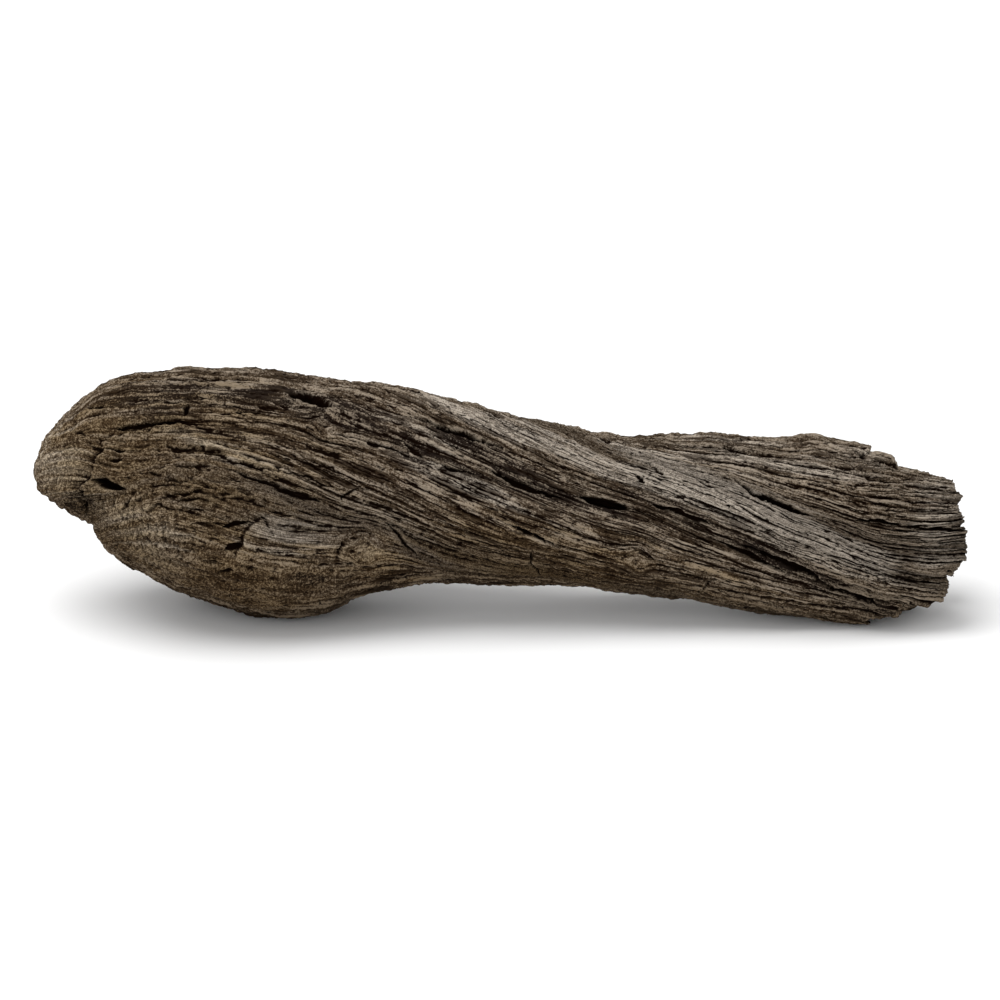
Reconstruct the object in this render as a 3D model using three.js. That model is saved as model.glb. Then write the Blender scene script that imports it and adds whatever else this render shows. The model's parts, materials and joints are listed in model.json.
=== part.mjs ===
// A piece of driftwood: a broken length of spiral-grained branch with a burl at one end and a
// flared, splintered break at the other. It grew as one piece of wood, so it is one solid.
//
// Millimetres. +X runs along the wood from the burl to the break, +Z is up and -Y is the front.
// The piece rests on two flats that wear has left under the burl and under the break, at Z = 0.
//
// The body is a stack of rings. Each ring's height comes from an upper and a lower edge, drawn
// on a plane that leans back a little, and its thickness from how far it reaches in front of
// that plane and behind it. Swells and hollows are then pushed into the front and the back.
import * as THREE from "three";

// Driving dimensions
const length = 420; // burl tip to the end of the break
const halfLength = length / 2;
const lean = 20; // degrees that the drawing plane leans back from upright
const tipLength = 28; // rounded part of the burl's tip
const breakStart = 120; // where the rings begin to slant towards the break's outline
const wear = 2.4; // depth worn off the lowest points, which leaves the flats
const hollowDepth = 4; // how far the middle of the broken face is eaten back

// Ring counts
const tipRings = 6;
const bodyRings = 62;
const faceSizes = [0.88, 0.7, 0.48, 0.24]; // of the rings across the broken face
const around = 48;

// Edges of the piece on the drawing plane, as [x, height]
const upperEdge = [
  [-210, 85], [-203, 94], [-187, 104], [-171, 112], [-144, 116], [-112, 115.5], [-74, 110.5],
  [-31, 104.5], [-4, 97], [18, 92.5], [56, 85], [68, 86.5], [120, 85], [160, 86.5], [187, 83.5],
  [210, 80.5],
];
const lowerEdge = [
  [-210, 53], [-203, 50], [-187, 46.5], [-181, 44.5], [-177, 34], [-160, 23], [-144, 14.5],
  [-128, 9], [-106, 4.5], [-90, 4.2], [-74, 7.2], [-66, 11.5], [-47, 15.8], [-31, 19], [2, 18.5],
  [34, 17.6], [61, 14], [99, 9.5], [120, 6], [160, 3], [185, 1], [210, 0.3],
];

// Reach in front of the drawing plane and behind it, as [x, reach]
const frontReach = [
  [-210, 25], [-185, 33], [-150, 39], [-100, 40], [-60, 37], [0, 33], [60, 30], [120, 28],
  [170, 25], [210, 16],
];
const backReach = [
  [-210, 26], [-185, 36], [-150, 46], [-100, 50], [-60, 42], [0, 35], [60, 31], [120, 31],
  [170, 31], [210, 22],
];

// Outline of the break, as [height, x]
const breakOutline = [
  [-1, 168], [3, 172], [7, 190], [13, 200], [22, 204], [31, 210], [44, 209], [55, 206],
  [62, 202], [68, 190], [75, 178], [82, 165], [90, 160],
];

// Turn of the grain round the wood in degrees, as [x, turn]: the rings' points follow it
const grainTurn = [[-210, 30], [-150, 24], [-90, 10], [-30, -22], [60, -72], [150, -120], [210, -145]];

// How square the ring's quarters are: 2 is an ellipse and more is fuller
const squareness = { frontUpper: 2.2, frontLower: 2.3, backUpper: 2.2, backLower: 2.75 };

// Swells (+) and hollows (-), each a soft oval at x, height, with its half sizes and its turn
const frontForms = [
  { name: "burl", x: -128, height: 40, along: 62, across: 37, turn: -8, push: 12 },
  { name: "burl brow", x: -150, height: 62, along: 34, across: 18, turn: 4, push: 3 },
  { name: "knot", x: -62, height: 34, along: 26, across: 20, turn: -15, push: 4 },
  { name: "waist", x: 5, height: 38, along: 70, across: 18, turn: -12, push: -2 },
  { name: "strand", x: 118, height: 46, along: 80, across: 15, turn: -25, push: 4 },
  { name: "gutter", x: 122, height: 31, along: 76, across: 13, turn: -24, push: -5 },
  { name: "flare", x: 150, height: 66, along: 60, across: 22, turn: -4, push: 2 },
];
const backForms = [
  { name: "back knot", x: -70, height: 68, along: 36, across: 26, turn: 10, push: 7 },
  { name: "back hollow", x: 28, height: 58, along: 66, across: 18, turn: 16, push: -6 },
  { name: "back strand", x: 96, height: 44, along: 84, across: 14, turn: 20, push: 5 },
  { name: "back gutter", x: 130, height: 62, along: 60, across: 10, turn: 18, push: -4 },
  { name: "heel", x: -108, height: 24, along: 52, across: 24, turn: 0, push: 6 },
];

// Spiral flutes that follow the grain round the branch
const flutes = [
  { count: 3, depth: 1.6, phase: 0.4 },
  { count: 5, depth: 1.1, phase: 2.1 },
];
const flutePitch = 640; // length in which the grain would go once round

function profile(points) {
  const spline = new THREE.CubicInterpolant(
    points.map((p) => p[0]),
    points.map((p) => p[1]),
    1,
  );
  return (at) => spline.evaluate(at)[0];
}

const upper = profile(upperEdge);
const lower = profile(lowerEdge);
const front = profile(frontReach);
const back = profile(backReach);
const breakEnd = profile(breakOutline);
const turned = profile(grainTurn);

// Share of a soft oval's push at a point of the drawing plane: 1 in its middle, fading to 0 at
// its rim
const fade = { from: 0.35, to: 1.15 }; // in half sizes of the oval
function share(form, x, height) {
  const turn = THREE.MathUtils.degToRad(form.turn);
  const dx = x - form.x;
  const dh = height - form.height;
  const along = (dx * Math.cos(turn) + dh * Math.sin(turn)) / form.along;
  const across = (dh * Math.cos(turn) - dx * Math.sin(turn)) / form.across;
  return 1 - THREE.MathUtils.smoothstep(Math.hypot(along, across), fade.from, fade.to);
}

function fluteDepth(x, angle) {
  const grain = angle + (2 * Math.PI * x) / flutePitch;
  return flutes.reduce((sum, f) => sum + f.depth * Math.cos(f.count * grain + f.phase), 0);
}

// Point of a ring on the drawing plane. The angle is 0 at the front and 90 degrees at the top,
// and size shrinks the whole ring towards its middle.
function ringPoint(x, angle, size) {
  const forward = Math.cos(angle);
  const up = Math.sin(angle);
  const side = forward > 0 ? "front" : "back";
  const power = squareness[side + (up > 0 ? "Upper" : "Lower")];
  const fullness = (Math.abs(forward) ** power + Math.abs(up) ** power) ** (-1 / power);
  const middle = (upper(x) + lower(x)) / 2;
  const half = (upper(x) - lower(x)) / 2;
  const height = middle + size * half * up * fullness;
  let reach = size * (forward > 0 ? front(x) : back(x)) * Math.abs(forward) * fullness;
  const inside = Math.sqrt(Math.abs(forward)) * size; // no push at the two edges
  const forms = forward > 0 ? frontForms : backForms;
  for (const form of forms) reach += form.push * share(form, x, height) * inside;
  reach += fluteDepth(x, angle) * inside * (1 - up ** 4);
  return { height, depth: forward > 0 ? -reach : reach };
}

// From the drawing plane to the part's frame
function place(x, { height, depth }) {
  const tilt = THREE.MathUtils.degToRad(lean);
  return new THREE.Vector3(
    x,
    height * Math.sin(tilt) + depth * Math.cos(tilt),
    height * Math.cos(tilt) - depth * Math.sin(tilt),
  );
}

// A ring's point moves along the wood so that the last ring ends on the break's outline
function slant(x, height) {
  if (x <= breakStart) return x;
  const stretch = (breakEnd(height) - breakStart) / (halfLength - breakStart);
  return breakStart + (x - breakStart) * stretch;
}

function ring(x, size, eaten = 0) {
  const start = THREE.MathUtils.degToRad(turned(x));
  return Array.from({ length: around }, (_, i) => {
    const point = ringPoint(x, start + (2 * Math.PI * i) / around, size);
    return place(slant(x, point.height) - eaten, point);
  });
}

function buildRings() {
  const rings = [];
  for (let i = 1; i <= tipRings; i++) {
    const bend = (Math.PI / 2) * (i / (tipRings + 1));
    rings.push(ring(-halfLength + tipLength * (1 - Math.cos(bend)), Math.sin(bend)));
  }
  for (let i = 0; i <= bodyRings; i++) {
    const x = THREE.MathUtils.lerp(-halfLength + tipLength, halfLength, i / bodyRings);
    rings.push(ring(x, 1));
  }
  for (const size of faceSizes) rings.push(ring(halfLength, size, hollowDepth * (1 - size ** 2)));
  return rings;
}

// One closed skin over the rings, with a fan of triangles at each end
function skin(rings) {
  const middle = (points) =>
    points.reduce((sum, p) => sum.add(p), new THREE.Vector3()).divideScalar(points.length);
  const tip = middle(rings[0]).setX(-halfLength);
  const heart = middle(rings.at(-1));
  const points = [...rings.flat(), tip, heart];
  const tipIndex = points.length - 2;
  const heartIndex = points.length - 1;
  const lowest = Math.min(...points.map((p) => p.z));
  for (const point of points) point.z = Math.max(point.z - lowest - wear, 0);
  const faces = [];
  const last = (rings.length - 1) * around; // first point of the last ring
  for (let i = 0; i < around; i++) {
    const next = (i + 1) % around;
    faces.push(i, next, tipIndex);
    faces.push(last + next, last + i, heartIndex);
    for (let base = 0; base < last; base += around) {
      faces.push(base + i, base + around + i, base + around + next);
      faces.push(base + i, base + around + next, base + next);
    }
  }
  const geometry = new THREE.BufferGeometry().setFromPoints(points);
  geometry.setIndex(faces);
  geometry.computeVertexNormals();
  return geometry;
}

const wood = new THREE.MeshStandardMaterial({ color: 0x5d5247, roughness: 0.92, metalness: 0 });
const driftwood = new THREE.Mesh(skin(buildRings()), wood);
driftwood.name = "driftwood";

// The origin is under the middle of the piece, on the surface that it rests on
driftwood.geometry.computeBoundingBox();
const middle = driftwood.geometry.boundingBox.getCenter(new THREE.Vector3());
driftwood.position.set(-middle.x, -middle.y, 0);

const piece = new THREE.Group();
piece.add(driftwood);
export default piece;
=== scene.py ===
import json
import math

import bmesh
import bpy
import numpy as np
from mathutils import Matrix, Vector
from mathutils.bvhtree import BVHTree

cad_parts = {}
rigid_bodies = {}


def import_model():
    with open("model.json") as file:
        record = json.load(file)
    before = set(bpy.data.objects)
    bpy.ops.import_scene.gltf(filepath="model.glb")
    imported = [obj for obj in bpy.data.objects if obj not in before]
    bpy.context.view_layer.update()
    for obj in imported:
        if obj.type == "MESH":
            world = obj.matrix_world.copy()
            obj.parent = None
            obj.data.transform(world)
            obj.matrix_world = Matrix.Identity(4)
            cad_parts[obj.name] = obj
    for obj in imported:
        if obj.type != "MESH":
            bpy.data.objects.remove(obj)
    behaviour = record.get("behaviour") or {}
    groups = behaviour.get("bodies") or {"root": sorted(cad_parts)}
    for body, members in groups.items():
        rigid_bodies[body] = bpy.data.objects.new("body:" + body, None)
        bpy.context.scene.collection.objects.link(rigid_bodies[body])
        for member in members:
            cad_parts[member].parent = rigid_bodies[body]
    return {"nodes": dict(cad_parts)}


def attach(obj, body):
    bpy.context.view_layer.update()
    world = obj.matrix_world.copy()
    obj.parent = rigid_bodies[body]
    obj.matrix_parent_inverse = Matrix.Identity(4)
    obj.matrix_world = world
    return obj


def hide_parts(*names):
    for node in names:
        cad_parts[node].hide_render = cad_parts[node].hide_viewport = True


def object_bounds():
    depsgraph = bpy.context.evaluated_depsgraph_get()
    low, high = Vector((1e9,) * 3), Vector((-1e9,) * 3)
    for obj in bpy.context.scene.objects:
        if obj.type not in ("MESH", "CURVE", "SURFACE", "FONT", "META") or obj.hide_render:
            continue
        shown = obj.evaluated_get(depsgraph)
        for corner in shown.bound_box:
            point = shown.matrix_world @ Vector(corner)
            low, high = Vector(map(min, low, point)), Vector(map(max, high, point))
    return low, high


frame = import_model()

# A weathered piece of driftwood, worked up from its plain CAD solid.
# The wood's own lengths are in millimetres here and become metres when the mesh is made.
# "Turn" is the place round the wood: 0 at the front, 0.25 on top, 0.5 at the back, 0.75 below.
# "Height" is measured up a plane that leans back by viewTilt, from the wood's lowest edge.

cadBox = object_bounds()
metre = 0.001  # one millimetre
viewTilt = math.radians(20)


def ease(part):  # 0 to 1 with level ends
    return part * part * (3 - 2 * part)


def smooth(low, high, value):  # 0 at low and 1 at high, whichever is larger
    return ease(np.clip((value - low) / (high - low), 0, 1))


def mix(a, b, share):
    return a + (b - a) * share


def sampleRow(values, columns):  # a closed row of values read between its columns
    low = np.floor(columns).astype(int)
    part = columns - low
    count = len(values)
    return values[low % count] * (1 - part) + values[(low + 1) % count] * part


def rowNoise(seed, row, cells, turn):  # soft random values, 0 to 1, round one row
    values = np.random.default_rng([seed, row + 1000]).random(cells)
    place = (turn % 1) * cells
    cell = np.floor(place).astype(int)
    return mix(values[cell % cells], values[(cell + 1) % cells], ease(place - cell))


def latticeNoise(seed, size, points):  # soft random values, 0 to 1; one cell is 1 wide
    ways = points.shape[-1]
    table = np.random.default_rng(seed).random((size,) * ways)
    cell = np.floor(points).astype(int)
    part = ease(points - cell)
    out = np.zeros(points.shape[:-1])
    for corner in range(2 ** ways):
        step = [(corner >> k) & 1 for k in range(ways)]
        share = np.ones_like(out)
        for k in range(ways):
            share = share * (part[..., k] if step[k] else 1 - part[..., k])
        out += share * table[tuple((cell[..., k] + step[k]) % size for k in range(ways))]
    return out


def flatNoise(seed, u, v):
    return latticeNoise(seed, 256, np.stack([u, v], axis=-1))


def solidNoise(seed, points):
    return latticeNoise(seed, 64, points)


def terraces(value, count, tread):  # flat steps with steep edges
    level = np.floor(value * count)
    return (level + smooth(tread, 1, value * count - level)) / count


def blurGrid(grid, rowsWide, columnsWide):  # closed round the wood, held at its ends
    out = grid
    for axis, wide in ((0, rowsWide), (1, columnsWide)):
        reach = int(3 * wide)
        steps = np.arange(-reach, reach + 1)
        weights = np.exp(-0.5 * (steps / wide) ** 2)
        weights /= weights.sum()
        mode = "edge" if axis == 0 else "wrap"
        pad = ((reach, reach), (0, 0)) if axis == 0 else ((0, 0), (reach, reach))
        padded = np.pad(out, pad, mode=mode)
        out = np.zeros_like(grid)
        for k, weight in enumerate(weights):
            part = padded[k:k + grid.shape[0]] if axis == 0 else padded[:, k:k + grid.shape[1]]
            out += weight * part
    return out


def addToScene(name, data):
    thing = bpy.data.objects.new(name, data)
    bpy.context.scene.collection.objects.link(thing)
    return thing


body = {
    "columns": 896,       # round the wood
    "rowStep": 0.7,       # along it
    "spine": (-150, 150),          # the middle part; beyond it the grid closes over each end
    "tipBulge": (60, 46, 2.0),     # reach, half width and squareness of the left end
    "breakBulge": (60, 38, 5.0),   # the same for the right end, which is blunter
    # x, degrees: how far the grid is turned to keep near the grain, and over how many rows evened
    "twist": [(-210, 40), (-150, 30), (-90, 12), (-30, -18), (60, -68), (150, -115), (210, -140)],
    "twistBlur": 30,
    "facetAngle": 0.6,    # radians: CAD triangles flatter than this are joined before rounding
    "facetShape": 1.2,    # radians: how far a joined face may be from a square
    "roundings": 2,       # how many times the solid is subdivided
    "spineStep": 10.0,    # between the places where the solid's middle is found
    "spineReach": 8.0,    # how much of the solid counts to each side of them
}


def roundedSolid(node):  # the CAD solid with its facets rounded, as something to measure
    bm = bmesh.new()
    bm.from_mesh(node.data)
    bmesh.ops.remove_doubles(bm, verts=bm.verts, dist=1e-6)
    bmesh.ops.join_triangles(bm, faces=bm.faces, angle_face_threshold=body["facetAngle"],
                             angle_shape_threshold=body["facetShape"])
    mesh = bpy.data.meshes.new("roundedSolid")
    bm.to_mesh(mesh)
    bm.free()
    solid = addToScene("roundedSolid", mesh)
    solid.modifiers.new("round", "SUBSURF").levels = body["roundings"]
    tree = BVHTree.FromObject(solid, bpy.context.evaluated_depsgraph_get())
    bpy.data.objects.remove(solid)
    points = np.array([v.co for v in mesh.vertices]) / metre
    bpy.data.meshes.remove(mesh)
    return tree, points


def spineLine(points):  # the middle of the wood at stations along it
    stations = np.arange(-200, 201, body["spineStep"])
    middles = []
    for x in stations:
        near = points[np.abs(points[:, 0] - x) < body["spineReach"]]
        middles.append((near[:, 1:].min(0) + near[:, 1:].max(0)) / 2)
    middles = np.array(middles)
    kernel = np.array([1, 2, 3, 2, 1]) / 9
    padded = np.pad(middles, ((2, 2), (0, 0)), mode="edge")
    smoothed = sum(w * padded[k:k + len(middles)] for k, w in enumerate(kernel))
    return stations, smoothed


def rowRays():  # for each row: where its rays start along the wood, and how far they lean
    def cap(reach, width, power):  # leans that step evenly over a rounded end
        bend = np.linspace(0, math.pi / 2, 400)
        along = reach * np.sin(bend) ** (2 / power)
        out = width * np.cos(bend) ** (2 / power)
        run = np.concatenate([[0], np.cumsum(np.hypot(np.diff(along), np.diff(out)))])
        count = int(run[-1] / body["rowStep"])
        marks = run[-1] * (np.arange(1, count) / count)
        return np.arctan2(np.interp(marks, run, along), np.interp(marks, run, out))
    low, high = body["spine"]
    count = int((high - low) / body["rowStep"])
    left = cap(*body["tipBulge"])[::-1]
    right = cap(*body["breakBulge"])
    starts = np.concatenate([np.full(len(left), low), np.linspace(low, high, count),
                             np.full(len(right), high)])
    leans = np.concatenate([-left, np.zeros(count), right])
    return starts, leans


def wrapGrid(tree, points):  # the solid's surface as rows of points round the wood
    starts, leans = rowRays()
    stations, middles = spineLine(points)
    twistAt = np.array(body["twist"], float)
    reachX = starts + np.tan(np.clip(leans, -1.2, 1.2)) * 40
    twist = np.interp(np.clip(reachX, -210, 210), twistAt[:, 0], twistAt[:, 1]) / 360
    side = body["twistBlur"]
    kernel = np.ones(2 * side + 1) / (2 * side + 1)
    twist = np.convolve(np.pad(twist, side, mode="edge"), kernel, mode="valid")
    turn = (np.arange(body["columns"]) / body["columns"])[None, :] + twist[:, None]
    surface = np.zeros((len(starts), body["columns"], 3))
    spine = np.stack([starts, np.interp(starts, stations, middles[:, 0]),
                      np.interp(starts, stations, middles[:, 1])], axis=1)
    for j, lean in enumerate(leans):
        origin = Vector(spine[j] * metre)
        angle = 2 * math.pi * turn[j]
        rays = np.stack([np.full_like(angle, math.sin(lean)), -np.cos(angle) * math.cos(lean),
                         np.sin(angle) * math.cos(lean)], axis=1)
        for i, ray in enumerate(rays):
            surface[j, i] = tree.ray_cast(origin, Vector(ray))[0]
    tip = tree.ray_cast(Vector(spine[0] * metre), Vector((-1, 0, 0)))[0]
    return surface / metre, turn, np.array(tip) / metre


def surfaceNormals(grid):
    along = np.gradient(grid, axis=0)
    around = np.roll(grid, -1, axis=1) - np.roll(grid, 1, axis=1)
    normals = np.cross(along, around)
    return normals / np.maximum(np.linalg.norm(normals, axis=2, keepdims=True), 1e-9)


tree, solidPoints = roundedSolid(frame["nodes"]["driftwood"])
plain, turn, tipPoint = wrapGrid(tree, solidPoints)
normals = surfaceNormals(plain)
rowRun = np.linalg.norm(np.diff(plain, axis=0), axis=2).mean(1)
rowRun = np.concatenate([[0], np.cumsum(rowRun)])  # how far along the skin each row is
lowestEdge = (solidPoints[:, 1] * math.sin(viewTilt) + solidPoints[:, 2] * math.cos(viewTilt)).min()


def heightOf(points):  # up the leaning plane
    return points[..., 1] * math.sin(viewTilt) + points[..., 2] * math.cos(viewTilt) - lowestEdge


print("body: grid of", plain.shape[0], "rows and", plain.shape[1], "columns")

plainX = plain[..., 0]
plainHeight = heightOf(plain)
lookAt = np.array([0, -math.cos(viewTilt), math.sin(viewTilt)])
facing = (normals * lookAt).sum(2)  # 1 where the surface faces the front, -1 at the back
frontShare = smooth(-0.05, 0.35, facing)
backShare = smooth(-0.05, 0.35, -facing)
faces = {"front": frontShare, "back": backShare, "both": 1}


def emptyGrid():  # a zero for every point
    return np.zeros(plain.shape[:2])


def oval(x, height, along, across, slope=0, soft=0.5, face="front"):  # a soft oval mask
    turned = math.radians(slope)
    dx = plainX - x
    dh = plainHeight - height
    a = (dx * math.cos(turned) + dh * math.sin(turned)) / along
    b = (dh * math.cos(turned) - dx * math.sin(turned)) / across
    mask = 1 - smooth(1 - soft, 1 + soft, np.hypot(a, b))
    return mask * faces[face]


grainGuides = {
    "front": [  # x, height and slope in degrees
        (-205, 70, 10), (-190, 88, 8), (-170, 100, -4), (-150, 108, -8), (-178, 76, -22),
        (-165, 82, -2), (-150, 90, 2), (-130, 92, -6), (-120, 103, -11), (-90, 106, -12),
        (-60, 100, -18), (-90, 92, -14), (-160, 60, 18), (-140, 72, 8), (-115, 74, -12), (-95, 66, -22),
        (-75, 58, -26), (-140, 55, -14), (-120, 50, -18), (-165, 42, 12), (-150, 28, -22),
        (-120, 20, -16), (-95, 14, -2), (-75, 18, 8), (-85, 36, -4), (-60, 36, -8), (-40, 62, -28),
        (-30, 80, -24), (-30, 96, -20), (-30, 40, -24), (0, 88, -23), (0, 70, -22), (0, 52, -20),
        (0, 32, -14), (0, 21, -4), (40, 80, -22), (40, 62, -19), (40, 44, -21), (40, 28, -16),
        (60, 20, -8), (75, 76, -20), (80, 60, -26), (80, 45, -25), (80, 28, -17), (100, 80, -6),
        (110, 66, -20), (115, 52, -26), (120, 36, -27), (110, 22, -18), (115, 11, -9), (140, 80, 0),
        (140, 66, -8), (145, 50, -16), (150, 34, -24), (150, 18, -22), (145, 7, -9), (175, 72, 0),
        (175, 56, -4), (178, 42, -7), (182, 28, -12), (182, 14, -16), (165, 34, -20), (172, 22, -22),
        (204, 42, 3), (203, 28, 4), (200, 18, -4),
    ],
    "back": [  # here a negative slope rises: it turns the same way round as at the front
        (-190, 75, -6), (-150, 90, -8), (-150, 50, -10), (-110, 70, -14), (-100, 30, -8),
        (-60, 85, -16), (-50, 50, -22), (0, 75, -22), (10, 40, -20), (60, 60, -24), (60, 30, -18),
        (110, 70, -16), (110, 40, -22), (150, 60, -12), (150, 25, -14), (190, 45, -4),
    ],
    "knots": [  # x, height, radius, behind: the grain parts to flow round each
        (-78, 90, 4, False), (-60, 34, 5, False), (62, 29, 4, False), (-72, 70, 14, True),
        (40, 55, 7, True), (-150, 60, 10, True),
    ],
    "knotStrength": 2.2,
    "wander": 9,          # degrees either way, in all
    "wanderLength": 34,
    "endReach": 25,       # the grain runs into the grid's own lines this near to each end
}


def onFace(x, height, behind):  # the grid's point at a place on the front or the back
    wrongSide = facing * (-1 if behind else 1) <= 0.1
    away = np.hypot(plainX - x, plainHeight - height) + 999 * wrongSide
    return plain[np.unravel_index(away.argmin(), away.shape)]


def grainSlope():  # degrees at each point, from the nearest guides
    total = emptyGrid()
    weights = emptyGrid()
    for behind, name in ((False, "front"), (True, "back")):
        for x, height, slope in grainGuides[name]:
            away = ((plain - onFace(x, height, behind)) ** 2).sum(2)
            weight = 1 / (away + 60) ** 2
            total += weight * slope
            weights += weight
    wander = rowsOfNoise(7, 9, grainGuides["wanderLength"]) - 0.5
    return total / weights + grainGuides["wander"] * wander


def rowsOfNoise(seed, cells, length):  # plain soft noise on the grid, not yet along the grain
    out = emptyGrid()
    for j, run in enumerate(rowRun):
        cell = int(run // length)
        near = rowNoise(seed, cell, cells, turn[j])
        far = rowNoise(seed, cell + 1, cells, turn[j])
        out[j] = mix(near, far, ease(run / length - cell))
    return out


def grainSteps():  # how far round, in turns, a fibre moves from each row to the next
    rowWay = np.gradient(plain, axis=0)
    turnWay = (np.roll(plain, -1, axis=1) - np.roll(plain, 1, axis=1)) * body["columns"] / 2
    turnLength = np.maximum(np.linalg.norm(turnWay, axis=2), 90)
    twistStep = np.gradient(turn[:, 0])[:, None]
    straightWay = rowWay - turnWay * twistStep[..., None]  # along the wood at a fixed turn
    rise = np.arctan2(heightOf(straightWay) + lowestEdge, np.maximum(straightWay[..., 0], 0.05))
    slope = np.radians(grainSlope()) - rise * np.cos(2 * math.pi * turn)
    limit = 0.7
    for x, height, radius, behind in grainGuides["knots"]:
        middle = onFace(x, height, behind)
        dx = plainX - middle[0]
        dh = (plainHeight - heightOf(middle)) * (-1 if behind else 1)
        near = np.maximum((dx ** 2 + dh ** 2) / radius ** 2, 1)
        mask = backShare if behind else frontShare
        bend = -grainGuides["knotStrength"] * dx * dh / (radius ** 2 * near ** 2)
        slope += mask * np.clip(bend, -limit, limit)
    end = grainGuides["endReach"]
    reach = smooth(0, end, rowRun)[:, None] * smooth(0, end, rowRun[-1] - rowRun)[:, None]
    rowLength = np.linalg.norm(straightWay, axis=2)
    return np.tan(np.clip(slope, -1.0, 1.0)) * rowLength / turnLength * reach


def carryTurns(rows, cell):  # carries each row's turns on along the grain, anew in each cell
    out = emptyGrid()
    columns = body["columns"]
    last = None
    for j in rows:
        if last is None or cell[j] != cell[last]:
            out[j] = turn[j]
        else:
            drift = drifts[max(j, last)] * (j - last)
            places = np.arange(columns) + drift * columns
            out[j] = sampleRow(out[last] - turn[last], places) + turn[last] + drift
        last = j
    return out


def traceGrain(length):  # each point's turn where its fibre crosses the last and next marked row
    cell = np.floor(rowRun / length).astype(int)
    rows = range(len(rowRun))
    return cell, rowRun / length - cell, carryTurns(rows, cell), carryTurns(rows[::-1], cell)


def fibres(seed, cells, length, broken=0.0):  # soft random ridges, 0 to 1, that follow the grain
    cell, part, before, after = traceGrain(length)
    before = before + fray
    after = after + fray
    out = emptyGrid()
    for j in range(len(rowRun)):
        a = rowNoise(seed, cell[j], cells, before[j])
        b = rowNoise(seed, cell[j] + 1, cells, after[j])
        share = part[j]
        if broken:  # each fibre ends at a place of its own
            place = mix(broken, 1 - broken, rowNoise(seed + 500, cell[j], cells * 2, before[j]))
            share = smooth(place - broken, place + broken, share)
        else:
            share = ease(share)
        out[j] = mix(a, b, share)
    return out


# How far round the grid turns, less the grain, from the last row to each: in turns
drifts = np.concatenate([[0], np.diff(turn[:, 0])])[:, None] - grainSteps()
fray = (0.7 * (rowsOfNoise(8, 90, 6) - 0.5) + 0.5 * (rowsOfNoise(9, 200, 2.6) - 0.5)) / 280
print("grain: traced from", len(grainGuides["front"]) + len(grainGuides["back"]), "guides")


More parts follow.
